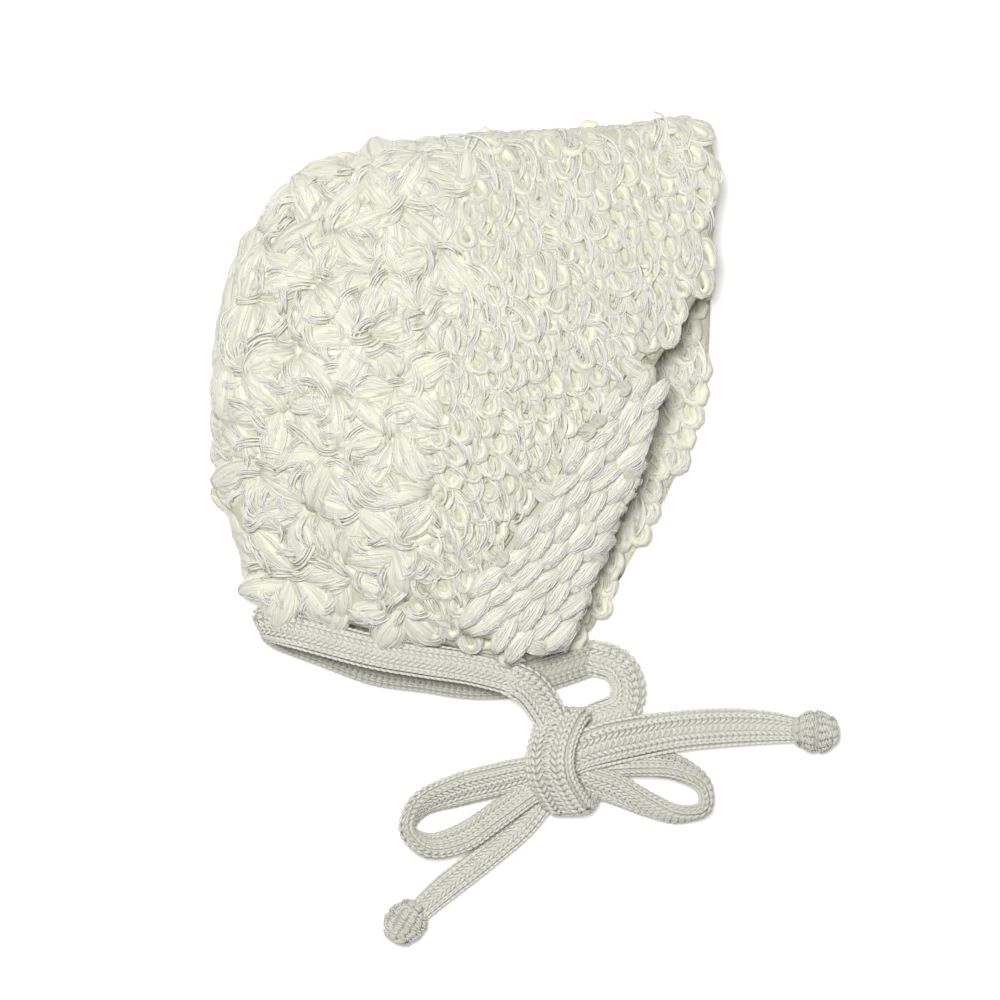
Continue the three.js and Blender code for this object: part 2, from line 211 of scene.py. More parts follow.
def ground_fabric(name, node, finish, inset, neighbour=None):
    """The wall of a node as one smooth piece of fabric, drawn in a little behind its stitches.

    Where it is joined to its neighbour it isn't drawn back, but laps over the join.
    """
    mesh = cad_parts[node].data.copy()
    mesh.materials.clear()
    piece = bpy.data.objects.new(name, mesh)
    bpy.context.collection.objects.link(piece)
    weld = piece.modifiers.new("weld", "WELD")
    weld.merge_threshold = FINEST
    bpy.context.view_layer.update()
    ready = piece.evaluated_get(bpy.context.evaluated_depsgraph_get())
    welded = bpy.data.meshes.new_from_object(ready)
    piece.modifiers.clear()
    piece.data = welded
    places = np.array([vertex.co for vertex in welded.vertices])
    outwards = np.array([vertex.normal for vertex in welded.vertices])
    if neighbour:
        other = surface_of(neighbour)
        for i, place in enumerate(places):
            nearest, _, _, distance = other.find_nearest(Vector(place))
            if distance < JOIN_REACH:
                outwards[i] *= (0, 1, 1)
                places[i] += JOIN_LAP * (np.array(nearest) - place)
    welded.vertices.foreach_set("co", (places - inset * outwards).ravel())
    welded.polygons.foreach_set("use_smooth", [True] * len(welded.polygons))
    welded.materials.append(finish)
    welded.update()
    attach(piece, "root")
    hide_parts(node)
    return piece


# Painted shade: the ground wool is coloured darker and warmer than the stitch yarn, for the shade in the gaps
# between stitches.
deep_wool = ground_finish("deep_wool", light=(0.74, 0.735, 0.59), dark=(0.60, 0.595, 0.44))
crown_ground = ground_fabric("crown_ground", "crown_back", deep_wool, GROUND_INSET, "face_band")

# ---- The back of the bonnet: its puff stitches ----
# Each puff is a bundle of long loops of soft wool drawn up together and caught at both ends, so it swells
# like a petal. Six puffs meet at each small eye, and every eye shares its puffs with the next ones.
EYE_PITCH = 18.5 * MM
EYE_START = (-23 * MM, -10 * MM)
EYE_DIRECTION = math.radians(253.3)
EYE_JITTER = 3.2 * MM
NET_REACH = 12
CHART_REACH = 0.16
FAT_SIDES, THIN_SIDES, FILAMENT_SIDES = 7, 4, 3
LYING_LEVEL = -0.9 * MM
LYING_RIM = 6 * MM
FAR_OFF = 0.3
DOWN, UP = Vector((0, 0, -1)), Vector((0, 0, 1))
STEEP = 0.4
SAME_SIDE = 4 * MM
CREAM = {
    "light": (0.90, 0.895, 0.74),
    "dark": (0.70, 0.695, 0.54),
    "bright": (0.98, 0.98, 0.94),
    "roughness": 0.75,
    "streaks": 2200,
    "softness": 0.35,
}


def yarn_finish(name, light, dark, bright, roughness, streaks, softness):
    """Spun yarn. Fibres run along it, its lustrous filaments are paler, and each stitch differs a little in
    tone, with painted shade on stitches that face away from straight up.
    """
    finish, yarn = new_finish(name)
    unwrapped = yarn.node("ShaderNodeUVMap", {"uv_map": "UVMap"})
    coords = yarn.node("ShaderNodeTexCoord", output="Object")
    drawn = yarn.node("ShaderNodeMapping", sockets={"Vector": unwrapped, "Scale": (streaks, 300, 1)})
    fibres = yarn.node(
        "ShaderNodeTexNoise",
        sockets={"Vector": drawn, "Scale": 1.0, "Detail": 4.0, "Roughness": 0.65, "Distortion": 0.4},
        output="Fac",
    )
    clouds = yarn.node(
        "ShaderNodeTexNoise", sockets={"Vector": coords, "Scale": 55.0, "Detail": 3.0}, output="Fac"
    )
    shine = yarn.node("ShaderNodeAttribute", {"attribute_name": "shine"}, output="Fac")
    tone = yarn.node("ShaderNodeAttribute", {"attribute_name": "tone"}, output="Fac")
    # The stitch attribute read above holds each stitch's random tone and the painted shade on steep rims.
    wool = yarn.node(
        "ShaderNodeMix",
        {"data_type": "RGBA"},
        {"Factor": 0.35 * fibres + 0.2 * clouds + 0.5 * tone, 6: (*dark, 1), 7: (*light, 1)},
        output=2,
    )
    colour = yarn.node(
        "ShaderNodeMix", {"data_type": "RGBA"}, {"Factor": shine, 6: wool, 7: (*bright, 1)}, output=2
    )
    bump = yarn.node(
        "ShaderNodeBump", sockets={"Height": fibres, "Strength": 0.8, "Distance": 0.35 * MM}
    )
    shader = yarn.node(
        "ShaderNodeBsdfPrincipled",
        sockets={
            "Base Color": colour,
            "Roughness": roughness + 0.15 * fibres - 0.25 * shine,
            "Normal": bump,
            "Subsurface Weight": softness,
            "Subsurface Radius": (1.0, 0.97, 0.85),
            "Subsurface Scale": 1.6 * MM,
            "Sheen Weight": 0.35,
            "Sheen Roughness": 0.5,
            "Specular IOR Level": 0.3,
        },
    )
    yarn.node("ShaderNodeOutputMaterial", sockets={"Surface": shader})
    return finish


def spun(name, strands):
    """One mesh of tubes in millimetres. A strand is (points, radii, sides, shine, closes)."""
    corners, faces, shines, unwrapped = [], [], [], []
    for points, radii, sides, shine, closes in strands:
        points = np.asarray(points, float)
        count = len(points)
        if closes:
            along = np.roll(points, -1, 0) - np.roll(points, 1, 0)
        else:
            along = np.gradient(points, axis=0)
        along /= np.linalg.norm(along, axis=1)[:, None]
        side = np.cross(along, (0.02, 0.01, 1.0))
        side /= np.linalg.norm(side, axis=1)[:, None]
        up = np.cross(side, along)
        angles = 2 * math.pi * (np.arange(sides) + 0.5) / sides
        ring = np.cos(angles)[None, :, None] * side[:, None] + np.sin(angles)[None, :, None] * up[:, None]
        first = len(corners)
        breadth = 2 * math.pi * float(np.mean(radii)) * MM / sides
        corners.extend((points[:, None] + np.asarray(radii)[:, None, None] * ring).reshape(-1, 3) * MM)
        shines.extend([shine] * (count * sides))
        steps = np.linalg.norm(np.diff(points, axis=0, append=points[:1]), axis=1) * MM
        lengths = np.concatenate([[0], np.cumsum(steps)])
        for i in range(count if closes else count - 1):
            for j in range(sides):
                here, ahead = first + i * sides, first + (i + 1) % count * sides
                k = (j + 1) % sides
                faces.append((here + j, ahead + j, ahead + k, here + k))
                left, right = j * breadth, (j + 1) * breadth
                low, high = lengths[i], lengths[i + 1]
                unwrapped.extend([(left, low), (left, high), (right, high), (right, low)])
        if not closes:
            last = first + (count - 1) * sides
            faces.append(tuple(range(first, first + sides)))
            faces.append(tuple(range(last + sides - 1, last - 1, -1)))
            unwrapped.extend([(0, 0)] * sides + [(0, lengths[count - 1])] * sides)
    mesh = bpy.data.meshes.new(name)
    mesh.from_pydata([tuple(c) for c in corners], [], faces)
    mesh.uv_layers.new(name="UVMap").data.foreach_set("uv", np.array(unwrapped, np.float32).ravel())
    mesh.attributes.new("shine", "FLOAT", "POINT").data.foreach_set("value", np.array(shines, np.float32))
    mesh.polygons.foreach_set("use_smooth", [True] * len(mesh.polygons))
    return mesh


def pattern_box(name, meshes):
    """A collection of stitch patterns that a chart's stitches are picked from."""
    box = bpy.data.collections.new(name)
    for mesh in meshes:
        box.objects.link(bpy.data.objects.new(mesh.name, mesh))
    return box


def swelling(t):
    """How full a puff is at each share of its length, from its caught ends to its middle."""
    return np.sin(np.pi * np.clip(t, 0.04, 0.96)) ** 0.65


def tapered(thickness, count):
    """The radii of a loose hair or filament, which thins out towards its ends."""
    return thickness * np.sin(np.linspace(0.6, 2.54, count))


def petal(rng, length, half_width, height, strands, pairs):
    """One puff along its own Y: soft fat strands, thin ones over them, and pairs of bright filaments."""
    t = np.linspace(0, 1, 9)
    swell = swelling(t)
    lean = rng.uniform(-0.12, 0.12) * length
    bundle = []
    for share in (-1, 0, 1):
        x = 0.5 * half_width * share * swell + lean * (t - 0.5) ** 2 * 2
        z = (0.35 - 0.3 * abs(share)) * height * swell - 0.6
        radii = 0.58 * half_width * swell * rng.uniform(0.92, 1.08) + 0.15
        bundle.append((np.c_[x, (t - 0.5) * length, z], radii, FAT_SIDES, 0.0, False))
    for k in range(strands):
        angle = math.radians(10 + 160 * (k + rng.uniform(0.1, 0.9)) / strands)
        wave = rng.uniform(0.2, 0.6) * np.sin(2 * np.pi * (t * rng.uniform(0.6, 1.4) + rng.uniform()))
        x = (half_width * math.cos(angle) + wave) * swell + lean * (t - 0.5) ** 2 * 2
        z = (height * math.sin(angle) + rng.uniform(-0.1, 0.25)) * swell - 0.6
        radii = rng.uniform(0.34, 0.5) * (0.45 + 0.55 * swell)
        line = np.c_[x, (t - 0.5) * length, z]
        bundle.append((line, radii, THIN_SIDES, rng.uniform(0.0, 0.25), False))
    for k in range(pairs):
        angle = math.radians(rng.uniform(20, 160))
        begin = rng.uniform(0.02, 0.5)
        s = np.linspace(begin, begin + rng.uniform(0.3, 0.5), 7)
        bow = rng.uniform(-1.4, 1.4) * np.sin(np.pi * (s - begin) / (s[-1] - begin))
        for gap in (0.0, rng.uniform(0.55, 0.75)):
            x = half_width * 1.04 * math.cos(angle) * swelling(s) + bow + gap + lean * (s - 0.5) ** 2 * 2
            z = (height + 0.55) * math.sin(angle) * swelling(s) - 0.35
            line = np.c_[x, (s - 0.5) * length, z]
            bundle.append((line, tapered(rng.uniform(0.13, 0.21), 7), FILAMENT_SIDES, 1.0, False))
    return bundle


def tuft(rng, strands, pairs, reach):
    """A lock of loose hairs and pairs of bright filaments that arches over the stitches."""
    bundle = []
    bend = rng.uniform(0.7, 1.3) * reach
    for k in range(strands + 2 * pairs):
        bright = k >= strands
        second = bright and (k - strands) % 2 == 1
        if not second:
            span, middle = rng.uniform(0.8, 1.4), rng.uniform(-0.25, 0.25)
            shift = rng.uniform(-0.22, 0.22) * reach
        arc = np.linspace(-0.5, 0.5, 7) * span + middle
        out = bend + shift + (0.66 if second else 0)
        rise = 2.3 * np.cos(np.linspace(-1.5, 1.5, 7)) - 0.5 + (0.35 if bright else 0)
        line = np.c_[out * np.cos(arc) - bend, out * np.sin(arc), rise]
        if bright:
            bundle.append((line, tapered(rng.uniform(0.13, 0.2), 7), FILAMENT_SIDES, 1.0, False))
        else:
            radii = tapered(rng.uniform(0.3, 0.45), 7)
            bundle.append((line, radii, THIN_SIDES, rng.uniform(0, 0.3), False))
    return bundle


def stitching_tree():
    """Works stitches from a box of patterns onto a chart's marked points, and keeps its other faces."""
    tree = bpy.data.node_groups.new("stitching", "GeometryNodeTree")
    add = tree.interface.new_socket
    add("Chart", in_out="INPUT", socket_type="NodeSocketGeometry")
    add("Patterns", in_out="INPUT", socket_type="NodeSocketCollection")
    add("Finish", in_out="INPUT", socket_type="NodeSocketMaterial")
    for name in ("Stitch size", "Size spread", "Turn spread"):
        add(name, in_out="INPUT", socket_type="NodeSocketFloat")
    add("Seed", in_out="INPUT", socket_type="NodeSocketInt")
    add("Fabric", in_out="OUTPUT", socket_type="NodeSocketGeometry")
    hook = Fibre(tree)
    chart = hook.node("NodeGroupInput", output="Chart")
    outputs = chart.socket.node.outputs
    given = {name: Fibre(tree, outputs[name]) for name in outputs.keys() if name}

    def drawn(name, kind):
        return hook.node(
            "GeometryNodeInputNamedAttribute", {"data_type": kind}, {"Name": name}, output="Attribute"
        )

    def chance(low, high, step):
        return hook.node(
            "FunctionNodeRandomValue",
            {"data_type": "FLOAT"},
            {2: low, 3: high, "Seed": given["Seed"] + step},
            output=1,
        )

    marked = hook.node(
        "GeometryNodeSeparateGeometry",
        {"domain": "POINT"},
        {"Geometry": chart, "Selection": drawn("spot", "FLOAT")},
    )
    others = Fibre(tree, marked.socket.node.outputs[1])
    box = hook.node(
        "GeometryNodeCollectionInfo",
        sockets={"Collection": given["Patterns"], "Separate Children": True, "Reset Children": True},
    )
    aim = hook.node(
        "FunctionNodeAxesToRotation",
        {"primary_axis": "Z", "secondary_axis": "Y"},
        {0: drawn("facing", "FLOAT_VECTOR"), 1: drawn("heading", "FLOAT_VECTOR")},
    )
    turn = chance(0.0 - given["Turn spread"], given["Turn spread"], 1)
    wobble = hook.node("FunctionNodeAxisAngleToRotation", sockets={"Axis": (0, 0, 1), "Angle": turn})
    turned = hook.node("FunctionNodeRotateRotation", {"rotation_space": "LOCAL"}, {0: aim, 1: wobble})
    size = given["Stitch size"] * (1.0 + chance(0.0 - given["Size spread"], given["Size spread"], 2))
    stretched = {0: drawn("stretch", "FLOAT_VECTOR"), "Scale": size}
    scale = hook.node("ShaderNodeVectorMath", {"operation": "SCALE"}, stretched)
    choice = {4: 0, 5: 97, "Seed": given["Seed"]}
    pick = hook.node("FunctionNodeRandomValue", {"data_type": "INT"}, choice, output=2)
    placed = hook.node(
        "GeometryNodeInstanceOnPoints",
        sockets={
            "Points": marked,
            "Instance": box,
            "Pick Instance": True,
            "Instance Index": pick,
            "Rotation": turned,
            "Scale": scale,
        },
    )
    # Painted shade: each stitch's tone is a random share plus a share from how far it faces up, so stitches
    # on steep rims and walls are painted darker.
    painted_light_by_facing = hook.node("ShaderNodeSeparateXYZ", sockets={0: drawn("facing", "FLOAT_VECTOR")}, output="Z")
    tone_and_rim_shaded = hook.node(
        "GeometryNodeStoreNamedAttribute",
        {"data_type": "FLOAT", "domain": "INSTANCE"},
        {"Geometry": placed, "Name": "tone", "Value": chance(0.0, 0.35, 3) + 0.75 * painted_light_by_facing},
    )
    joined = hook.node("GeometryNodeJoinGeometry")
    tree.links.new(others.socket, joined.socket.node.inputs[0])
    tree.links.new(tone_and_rim_shaded.socket, joined.socket.node.inputs[0])
    real = hook.node("GeometryNodeRealizeInstances", sockets={"Geometry": joined})
    finished = hook.node("GeometryNodeSetMaterial", sockets={"Geometry": real, "Material": given["Finish"]})
    hook.node("NodeGroupOutput", sockets={"Fabric": finished})
    return tree


stitching = stitching_tree()


def worked(name, chart, patterns, finish, size=1.0, spread=0.08, turn=0.12, seed=1):
    """Turns a chart mesh into a finished piece of stitches and gives it to the bonnet."""
    piece = bpy.data.objects.new(name, chart)
    bpy.context.collection.objects.link(piece)
    modifier = piece.modifiers.new("stitching", "NODES")
    modifier.node_group = stitching
    values = {
        "Patterns": patterns,
        "Finish": finish,
        "Stitch size": size,
        "Size spread": spread,
        "Turn spread": turn,
        "Seed": seed,
    }
    for item in stitching.interface.items_tree:
        if item.name in values:
            modifier[item.identifier] = values[item.name]
    bpy.context.view_layer.update()
    depsgraph = bpy.context.evaluated_depsgraph_get()
    ready = piece.evaluated_get(depsgraph)
    mesh = bpy.data.meshes.new_from_object(ready, preserve_all_data_layers=True, depsgraph=depsgraph)
    piece.modifiers.clear()
    places = np.empty(len(mesh.vertices) * 3)
    mesh.vertices.foreach_get("co", places)
    places[2::3] = np.maximum(places[2::3], LYING_LEVEL)
    mesh.vertices.foreach_set("co", places)
    piece.data = mesh
    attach(piece, "root")
    return piece


def chart_of(name, spots, core=None):
    """A chart mesh. A spot is (place, facing, heading, stretch), and a core is a mesh to keep."""
    places = [spot[0] for spot in spots]
    kept = core or spun(name + "_core", [])
    count = len(kept.vertices)
    faces = [tuple(polygon.vertices) for polygon in kept.polygons]
    mesh = bpy.data.meshes.new(name)
    mesh.from_pydata([tuple(v.co) for v in kept.vertices] + [tuple(p) for p in places], [], faces)
    if count:
        flat = np.zeros(len(kept.loops) * 2, np.float32)
        kept.uv_layers[0].data.foreach_get("uv", flat)
        mesh.uv_layers.new(name="UVMap").data.foreach_set("uv", flat)
        mesh.polygons.foreach_set("use_smooth", [True] * len(faces))
    marks = np.r_[np.zeros(count), np.ones(len(spots))].astype(np.float32)
    mesh.attributes.new("spot", "FLOAT", "POINT").data.foreach_set("value", marks)
    for column, title in ((1, "facing"), (2, "heading"), (3, "stretch")):
        rows = np.r_[np.zeros((count, 3)), np.array([tuple(spot[column]) for spot in spots])]
        layer = mesh.attributes.new(title, "FLOAT_VECTOR", "POINT")
        layer.data.foreach_set("vector", rows.astype(np.float32).ravel())
    return mesh


def laid_along(surface, marks, look, lift, spots, gap, start=None, stretch=(1, 1, 1), steepest=0.42):
    """Adds a spot wherever a look at the surface meets one of the marks, which are (x, y, heading angle).

    The marks lie in the plane across the look. A spot too close to an earlier one is left out, and so is one
    on a part of the surface that slopes away.
    """
    look = Vector(look).normalized()
    if abs(look.z) > 0.9:
        across, upward = Vector((1, 0, 0)), Vector((0, 1, 0))
    else:
        across, upward = look.cross(Vector((0, 0, 1))).normalized(), Vector((0, 0, 1))
    for x, y, angle in marks:
        origin = across * x + upward * y
        origin = origin - look * FAR_OFF if start is None else origin + Vector((0, 0, start))
        place, facing, _, _ = surface.ray_cast(origin, look)
        if place is None or abs(facing.dot(look)) < steepest:
            continue
        if facing.dot(look) > 0:
            facing = -facing
        if any((place - spot[0]).length < gap for spot in spots):
            continue
        heading = across * math.cos(angle) + upward * math.sin(angle)
        heading = (heading - facing * heading.dot(facing)).normalized()
        spots.append((place + facing * lift, facing, heading, stretch))
    return spots


def laid_round(surface, bearings, dip, marks, lift, spots, gap, stretch):
    """Adds spots for looks at the surface from several bearings round it, in degrees, and a little above."""
    for degrees in bearings:
        out = math.radians(degrees)
        look = (-math.cos(out), -math.sin(out), -dip)
        laid_along(surface, marks, look, lift, spots, gap, stretch=stretch)
    return spots


def star_marks(rng):
    """Marks for puffs: the middle of every line between neighbouring eyes of a triangular net."""
    turns = [EYE_DIRECTION + k * math.pi / 3 for k in range(3)]
    steps = [np.array((math.cos(turn), math.sin(turn))) * EYE_PITCH for turn in turns]
    eyes = {
        (i, j): np.array(EYE_START) + i * steps[0] + j * steps[1] + rng.uniform(-EYE_JITTER, EYE_JITTER, 2)
        for i in range(-NET_REACH, NET_REACH + 1)
        for j in range(-NET_REACH, NET_REACH + 1)
    }
    marks = []
    for (i, j), eye in eyes.items():
        for other in ((i + 1, j), (i, j + 1), (i - 1, j + 1)):
            if other in eyes:
                middle, line = (eye + eyes[other]) / 2, eyes[other] - eye
                marks.append((middle[0], middle[1], math.atan2(line[1], line[0])))
    return marks


def brick_marks(pitch, row, angle):
    """Marks in staggered rows that cross the heading angle."""
    along = np.array((math.cos(angle), math.sin(angle)))
    sideways = np.array((math.sin(angle), -math.cos(angle)))
    rows, columns = int(CHART_REACH / row), int(CHART_REACH / pitch)
    marks = []
    for i in range(-rows, rows + 1):
        for j in range(-columns, columns + 1):
            x, y = along * i * row + sideways * (j + 0.5 * (i % 2)) * pitch
            marks.append((x, y, angle))
    return marks


def scattered(rng, pitch, angle, spread):
    """Marks a pitch apart on average, with no order to them."""
    marks = []
    for x, y, _ in brick_marks(pitch, pitch, 0.7):
        x += rng.uniform(-0.4, 0.4) * pitch
        y += rng.uniform(-0.4, 0.4) * pitch
        marks.append((x, y, angle + rng.uniform(-spread, spread)))
    return marks


def met_from_above(surface, x, y):
    return surface.ray_cast(Vector((x, y, 0.2)), DOWN)[0]


def kept_inside(spots, surface, margin):
    """The spots on steep walls, and those with their own side of the bonnet round them for a margin."""
    kept = []
    for spot in spots:
        x, y, z = spot[0]
        steep = abs(spot[1].z) < STEEP
        hits = [
            met_from_above(surface, x + dx * margin, y + dy * margin)
            for dx, dy in ((1, 0), (-1, 0), (0, 1), (0, -1))
        ]
        if steep or all(hit is not None and hit.z > z - SAME_SIDE for hit in hits):
            kept.append(spot)
    return kept


rng = np.random.default_rng(11)
soft_wool = yarn_finish("soft_wool", **CREAM)
puffs = pattern_box("puffs", [spun(f"puff_{k}", petal(rng, 17.5, 4.6, 3.2, 8, 5)) for k in range(6)])
plain_puffs = pattern_box(
    "plain_puffs", [spun(f"plain_puff_{k}", petal(rng, 15, 4.4, 2.6, 5, 1)) for k in range(4)]
)
crown_surface = surface_of("crown_back")
whole_surface = surface_of("crown_back", "face_band")
star_spots = laid_along(crown_surface, star_marks(rng), DOWN, -1.3 * MM, [], 5 * MM, steepest=0.5)
star_chart = chart_of("crown_puff_chart", star_spots)
crown_puffs = worked("crown_puffs", star_chart, puffs, soft_wool, spread=0.16, turn=0.3, seed=3)

bricks = brick_marks(8 * MM, 10 * MM, 1.1)
fill = [(x, y, angle + 0.5 * (-1) ** k) for k, (x, y, angle) in enumerate(bricks)]
rim_spots = laid_along(
    crown_surface, fill, DOWN, -2.2 * MM, list(star_spots), 6.3 * MM, stretch=(0.9, 0.8, 0.7)
)
laid_round(crown_surface, range(70, 256, 15), 0.15, fill, -1.4 * MM, rim_spots, 6.2 * MM, (1, 0.9, 0.6))
rim_chart = chart_of("crown_rim_chart", rim_spots[len(star_spots) :])
crown_rim_puffs = worked(
    "crown_rim_puffs", rim_chart, plain_puffs, soft_wool, spread=0.12, turn=0.3, seed=9
)

locks = pattern_box("locks", [spun(f"lock_{k}", tuft(rng, 4, 2, 7)) for k in range(8)])
loose_marks = scattered(rng, 5.6 * MM, 0, 3.1)
loose_spots = laid_along(crown_surface, loose_marks, DOWN, 0.2 * MM, [], 3.4 * MM)
loose_chart = chart_of("crown_locks_chart", kept_inside(loose_spots, whole_surface, 2.5 * MM))
crown_locks = worked("crown_locks", loose_chart, locks, soft_wool, spread=0.2, turn=0.5, seed=12)

hidden_puffs = pattern_box(
    "hidden_puffs", [spun(f"hidden_puff_{k}", petal(rng, 15, 4.4, 2.6, 2, 0)) for k in range(3)]
)
far_spots = laid_along(
    crown_surface, star_marks(rng), UP, -1.6 * MM, [], 5 * MM, stretch=(1, 1, 0.4)
)
far_spots = [spot for spot in far_spots if spot[0].z < LYING_RIM]
far_chart = chart_of("crown_under_chart", kept_inside(far_spots, whole_surface, 9 * MM))
crown_puffs_under = worked("crown_puffs_under", far_chart, hidden_puffs, soft_wool, seed=4)

# ---- The face band ----
# The front of the bonnet is worked in an open stitch: staggered rows of upright loops, each lapping over
# the heads of the row before and leaving a small gap at its foot.
LOOP_PITCH = 6.6 * MM
LOOP_ROW = 6.0 * MM
LOOP_LEAN = math.radians(105)
PAIR_GAP = 0.62
JOIN_Y = (-120, -36, -7, 22, 52, 81, 120)
JOIN_X = (-10, -10, -7, -4, 1.5, 0, 0)
STITCH_OVERLAP = 2.5 * MM
MID_HEIGHT = 9 * MM


def loop(rng, half_width, half_length, thickness, segments, sides, strands, pairs):
    """One loop along its own Y: a fat soft strand round a small hole, thin ones over it, and bright pairs."""
    turn = np.linspace(0, 2 * np.pi, segments, endpoint=False)
    wide = half_width * rng.uniform(0.9, 1.12)
    lean = rng.uniform(-0.5, 0.5)

    def ring(arc, grow, rise):
        y = half_length * (1 + 0.5 * (grow - 1)) * np.cos(arc)
        x = wide * grow * np.sin(arc) * (1 - 0.2 * np.cos(arc)) + lean * np.cos(arc)
        return np.c_[x, y, 0.3 - 0.8 * np.cos(arc) + rise]

    radii = thickness * (1 + 0.13 * np.sin(2 * turn + rng.uniform(0, 6)) + 0.12 * np.cos(turn))
    bundle = [(ring(turn, 1, 0), radii, sides, 0.0, True)]
    for k in range(strands):
        begin, grow = rng.uniform(0, 2 * np.pi), rng.uniform(0.62, 1.5)
        arc = begin + np.linspace(0, rng.uniform(3.4, 5.8), segments - 3)
        rise = thickness * math.sqrt(max(0.1, 1 - (wide * (grow - 1) / thickness) ** 2)) - 0.1
        line = ring(arc, grow, rise) + 0.2 * rng.uniform(-1, 1) * np.sin(3 * arc)[:, None]
        radii = np.full(segments - 3, rng.uniform(0.3, 0.45))
        bundle.append((line, radii, THIN_SIDES, rng.uniform(0, 0.3), False))
    for k in range(pairs):
        begin = rng.uniform(0, 2 * np.pi)
        arc = begin + np.linspace(0, rng.uniform(1.4, 3.0), 8)
        grow = rng.uniform(0.7, 1.35)
        for gap in (0.0, PAIR_GAP):
            line = ring(arc, grow, thickness + 0.12) + (gap, 0, 0)
            bundle.append((line, tapered(rng.uniform(0.13, 0.2), 8), FILAMENT_SIDES, 1.0, False))
    return bundle


open_wool = yarn_finish("open_wool", **CREAM)
loops = pattern_box("loops", [spun(f"loop_{k}", loop(rng, 2.45, 4.3, 1.8, 13, 7, 4, 2)) for k in range(8)])
plain_loops = pattern_box(
    "plain_loops", [spun(f"plain_loop_{k}", loop(rng, 2.45, 4.3, 1.8, 9, 5, 0, 1)) for k in range(3)]
)
band_ground = ground_fabric("band_ground", "face_band", deep_wool, GROUND_INSET, "crown_back")
band_surface = surface_of("face_band")
brim_surface = surface_of("turned_brim")
upright = brick_marks(LOOP_PITCH, LOOP_ROW, LOOP_LEAN)


def under_brim(x, y):
    return met_from_above(brim_surface, x, y) is not None


def past_join(x, y):
    """Whether a place is on the face band's side of the line where the stitch changes."""
    return x > np.interp(y / MM, JOIN_Y, JOIN_X) * MM - STITCH_OVERLAP


bare = [mark for mark in upright if past_join(*mark[:2]) and not under_brim(*mark[:2])]
outer_spots = laid_along(
    whole_surface, bare, DOWN, -1.1 * MM, [], 4.2 * MM, stretch=(1, 1, 0.8), steepest=0.5
)
edge_marks = brick_marks(6 * MM, 6 * MM, 1.57)
edge_bearings = (90, 70, 45, 20, 0, -20, -35)
laid_round(band_surface, edge_bearings, 0.1, edge_marks, -1.9 * MM, outer_spots, 5.2 * MM, (1, 1, 0.6))
band_chart = chart_of("band_chart", kept_inside(outer_spots, whole_surface, 2.6 * MM))
band_loops = worked("band_loops", band_chart, loops, open_wool, spread=0.12, turn=0.2, seed=5)

wisps = pattern_box("wisps", [spun(f"wisp_{k}", tuft(rng, 2, 2, 8)) for k in range(8)])
wisp_marks = [mark for mark in scattered(rng, 5.6 * MM, LOOP_LEAN, 0.5) if not under_brim(*mark[:2])]
wisp_spots = laid_along(band_surface, wisp_marks, DOWN, -0.1 * MM, [], 3.6 * MM)
wisp_chart = chart_of("band_wisps_chart", kept_inside(wisp_spots, whole_surface, 2.5 * MM))
band_wisps = worked("band_wisps", wisp_chart, wisps, open_wool, spread=0.2, turn=0.2, seed=13)

lining_spots = laid_along(band_surface, upright, DOWN, -1.2 * MM, [], 4.2 * MM, start=MID_HEIGHT)
laid_along(band_surface, upright, UP, -1.2 * MM, lining_spots, 4.2 * MM, start=MID_HEIGHT)
lining_chart = chart_of("lining_chart", kept_inside(lining_spots, whole_surface, 3.2 * MM))
band_lining = worked("band_lining", lining_chart, plain_loops, open_wool, seed=6)

under_spots = laid_along(band_surface, upright, UP, -1.5 * MM, [], 4.2 * MM, stretch=(1, 1, 0.5))
under_spots = [spot for spot in under_spots if spot[0].z < LYING_RIM]
under_chart = chart_of("band_under_chart", kept_inside(under_spots, whole_surface, 6.5 * MM))
band_under = worked("band_under", under_chart, plain_loops, open_wool, seed=7)

# ---- The turned brim ----
# The last rows of the face band, turned back over the upper side from the chin to the cheek. They are long
# loose puffs that lie slantwise and stand a little proud of the fold and the free edge.
BRIM_LEAN = math.radians(52)
BRIM_INSET = 0.8 * MM
long_puffs = pattern_box(
    "long_loops", [spun(f"long_loop_{k}", petal(rng, 13.5, 2.9, 2.5, 5, 5)) for k in range(6)]
)
brim_wool = yarn_finish(
    "brim_wool",
    light=(0.91, 0.905, 0.765),
    dark=(0.68, 0.675, 0.53),
    bright=(0.98, 0.98, 0.95),
    roughness=0.72,
    streaks=2200,
    softness=0.35,
)
brim_ground = ground_fabric("brim_ground", "turned_brim", deep_wool, BRIM_INSET)
slanted = brick_marks(5.3 * MM, 9 * MM, BRIM_LEAN)
brim_spots = laid_along(brim_surface, slanted, DOWN, -0.6 * MM, [], 4.0 * MM)
fold_marks = brick_marks(5 * MM, 8 * MM, 1.57)
fold_bearings = (-21, 10, -50, 160)
laid_round(brim_surface, fold_bearings, 0.3, fold_marks, -1.2 * MM, brim_spots, 4.8 * MM, (1, 0.8, 0.7))
brim_chart = chart_of("brim_chart", brim_spots)
brim_loops = worked("brim_loops", brim_chart, long_puffs, brim_wool, turn=0.25, seed=8)

# ---- The neck band ----
# A flat tube knitted in silky yarn, ten stitches round, sewn along the neck edge of both sides. The same cord
# goes on past each end as a tie.
CORD_WIDTH = 10.2
CORD_THICKNESS = 3.3
ROW_PITCH = 1.8
COLUMNS = 10
SQUARENESS = 0.62
OUTLINE_STEPS = 720
CORE_SIDES = 16
CORE_PITCH = 1.5
CORE_SHARES = (0.93, 0.86)
LEG_TURNS = np.array((0.001, 0.012, 0.026, 0.034))
LEG_SPREAD = 24.0 / (2 * (CORD_WIDTH + CORD_THICKNESS))
LEG_SLACK = 1.1
LEG_LIFTS = (0.05, 0.3, 0.28, -0.1)
LEG_RADII = np.array((0.3, 0.56, 0.52, 0.25))


